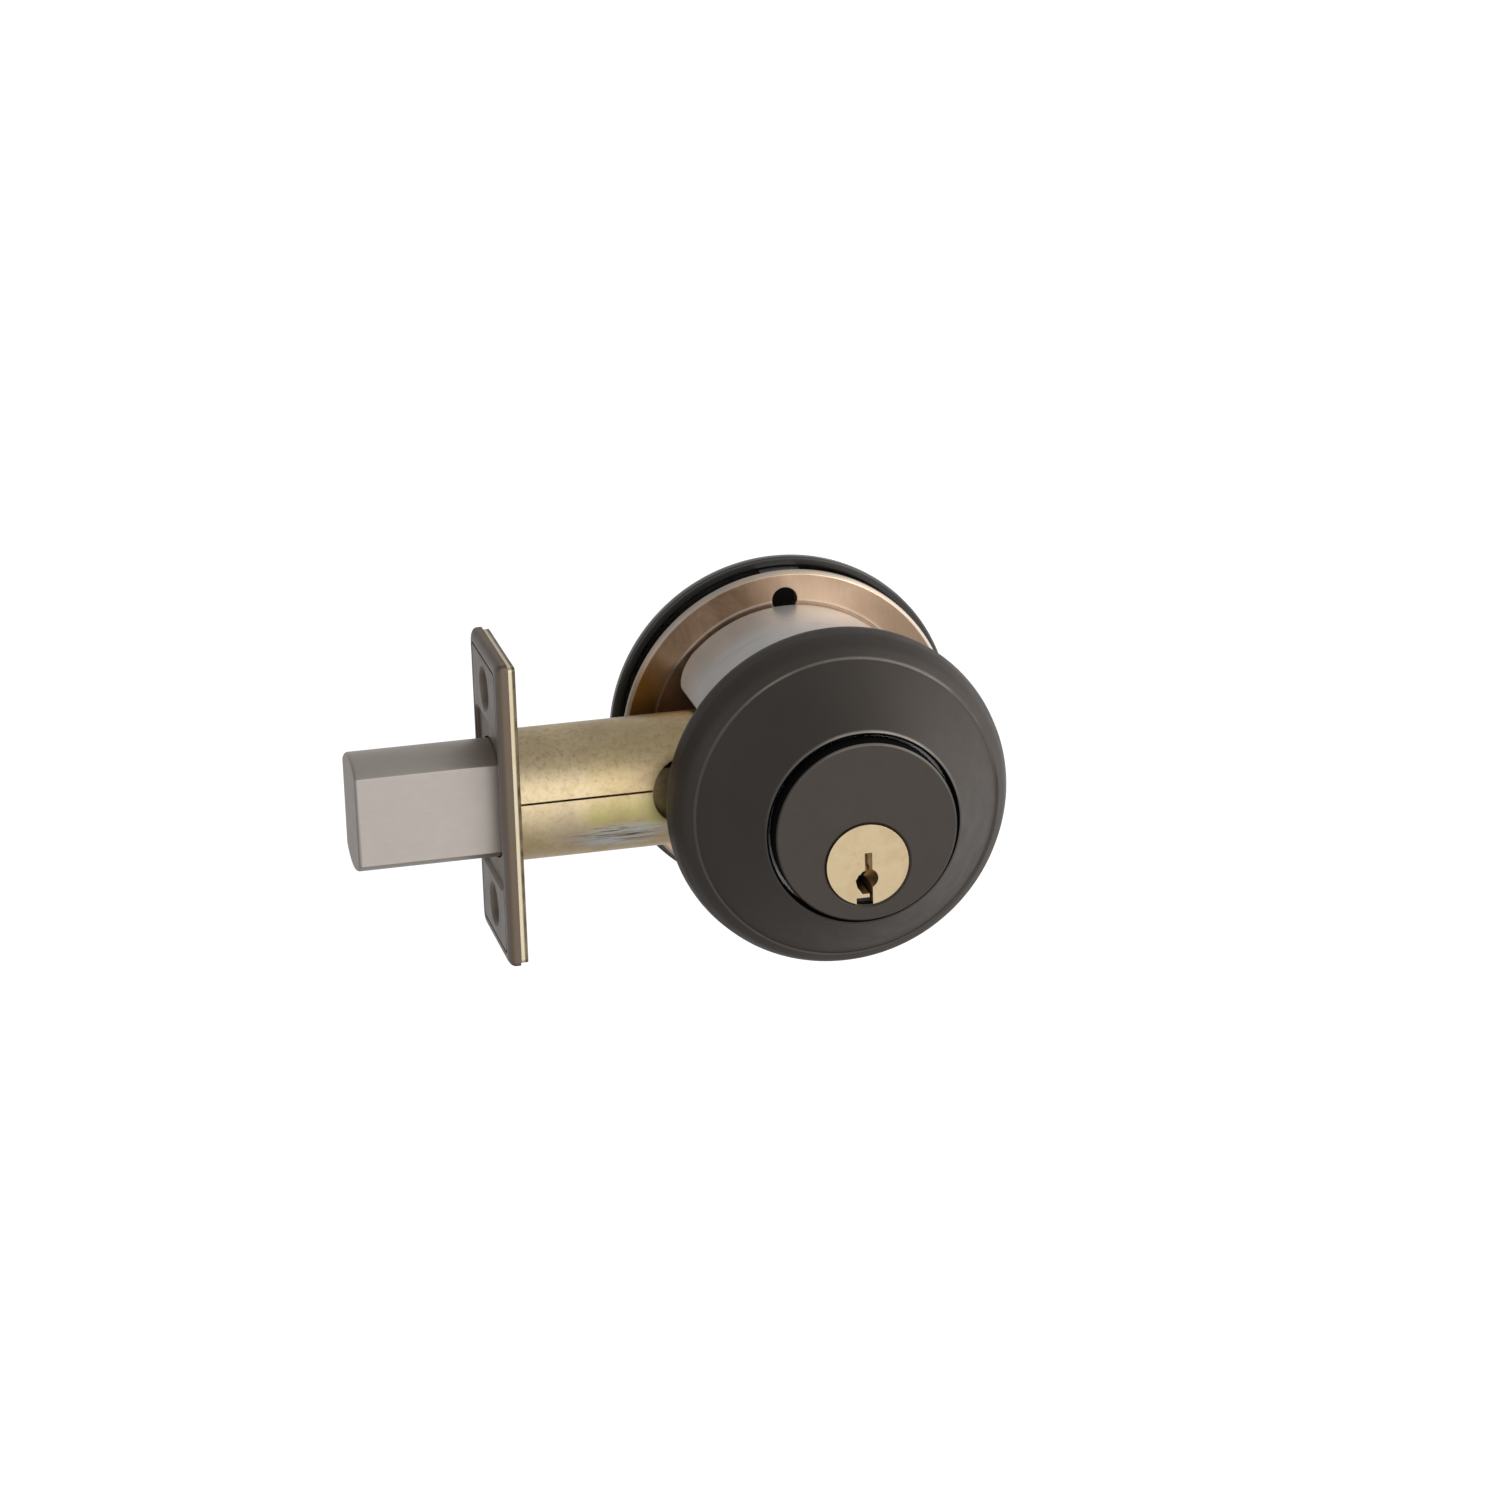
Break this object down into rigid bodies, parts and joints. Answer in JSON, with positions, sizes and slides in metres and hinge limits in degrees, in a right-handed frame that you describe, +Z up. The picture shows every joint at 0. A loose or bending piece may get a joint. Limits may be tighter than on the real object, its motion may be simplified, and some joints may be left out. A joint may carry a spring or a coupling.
{
  "type": "tubular deadbolt lock",
  "caption": "Single-cylinder tubular deadbolt lock with a tapered outside collar, low-set brass key plug, square faceplate, sliding bolt, inside rose and thumbturn.",
  "frame": {"origin": "centre of the door's cross bore, half way through the door, where the latch tube's axis crosses it", "axes": "-Y towards the outside of the door (key side), +Y towards the room (thumbturn), -X towards the door's edge (the bolt leaves this way), +Z up"},
  "size_m": [0.1185, 0.0901, 0.0656],
  "materials": {
    "oil_rubbed_bronze": "satin",
    "faceplate_bronze": "satin",
    "plug_brass": "polished",
    "zinc_dichromate": "satin",
    "copper_dichromate": "satin",
    "backing_gold": "satin",
    "die_cast_zinc": "satin",
    "bolt_nickel": "satin",
    "plain_steel": "brushed",
    "spring_steel": "polished",
    "hardened_steel": "ground",
    "pin_nickel": "polished",
    "strip_brass": "satin",
    "black_trim": "satin",
    "guide_acetal": "matte",
    "bushing_nylon": "matte"
  },
  "bodies": {
    "lock_case": {"cylinder_housing": "die_cast_zinc", "collar_snap_ring": "spring_steel", "cylinder_body": "oil_rubbed_bronze", "driver_pins": "pin_nickel", "pin_springs": "spring_steel", "pin_cover_strip": "strip_brass", "drill_guard_pins": "hardened_steel", "cylinder_screws": "plain_steel", "faceplate": "faceplate_bronze", "backing_plate": "backing_gold", "latch_tube": "zinc_dichromate", "guide_cheeks": "guide_acetal", "cage_plate_front": "zinc_dichromate", "cage_plate_rear": "zinc_dichromate", "cage_rivets": "plain_steel", "detent_spring": "spring_steel", "mounting_plate": "copper_dichromate", "through_bolts": "plain_steel", "rose": "black_trim", "rose_clip": "spring_steel", "spindle_bushing": "bushing_nylon", "spindle_washer": "strip_brass"},
    "security_collar": {"collar": "oil_rubbed_bronze"},
    "plug": {"key_plug": "plug_brass", "key_pins": "pin_nickel", "plug_retainer_cap": "plain_steel", "retainer_cap_screws": "plain_steel"},
    "turn": {"thumbturn": "black_trim", "turn_spindle": "plain_steel", "thumbturn_pin": "plain_steel", "spindle_clip": "spring_steel", "tailpiece": "plain_steel", "hub": "zinc_dichromate", "crank_pin": "hardened_steel"},
    "deadbolt": {"bolt": "bolt_nickel", "bolt_roller_pin": "hardened_steel", "drive_bar": "plain_steel", "drive_bar_rivets": "plain_steel"}
  },
  "joints": [
    {"name": "thumbturn_turn", "type": "hinge", "parent": "lock_case", "child": "turn", "pos_m": [0, 0, -0.0061], "axis": [0, 1, 0], "range_deg": [0, 90]},
    {"name": "bolt_slide", "type": "slide", "parent": "lock_case", "child": "deadbolt", "axis": [1, 0, 0], "range_m": [0, 0.0254]},
    {"name": "plug_turn", "type": "hinge", "parent": "lock_case", "child": "plug", "pos_m": [0, -0.03, -0.0061], "axis": [0, 1, 0], "range_deg": [-90, 90]},
    {"name": "collar_spin", "type": "hinge", "parent": "lock_case", "child": "security_collar", "pos_m": [0, -0.03, 0], "axis": [0, 1, 0], "continuous": true}
  ],
  "couplings": [
    {"joint": "thumbturn_turn", "follows": "bolt_slide", "rad_per_m": 61.842}
  ]
}
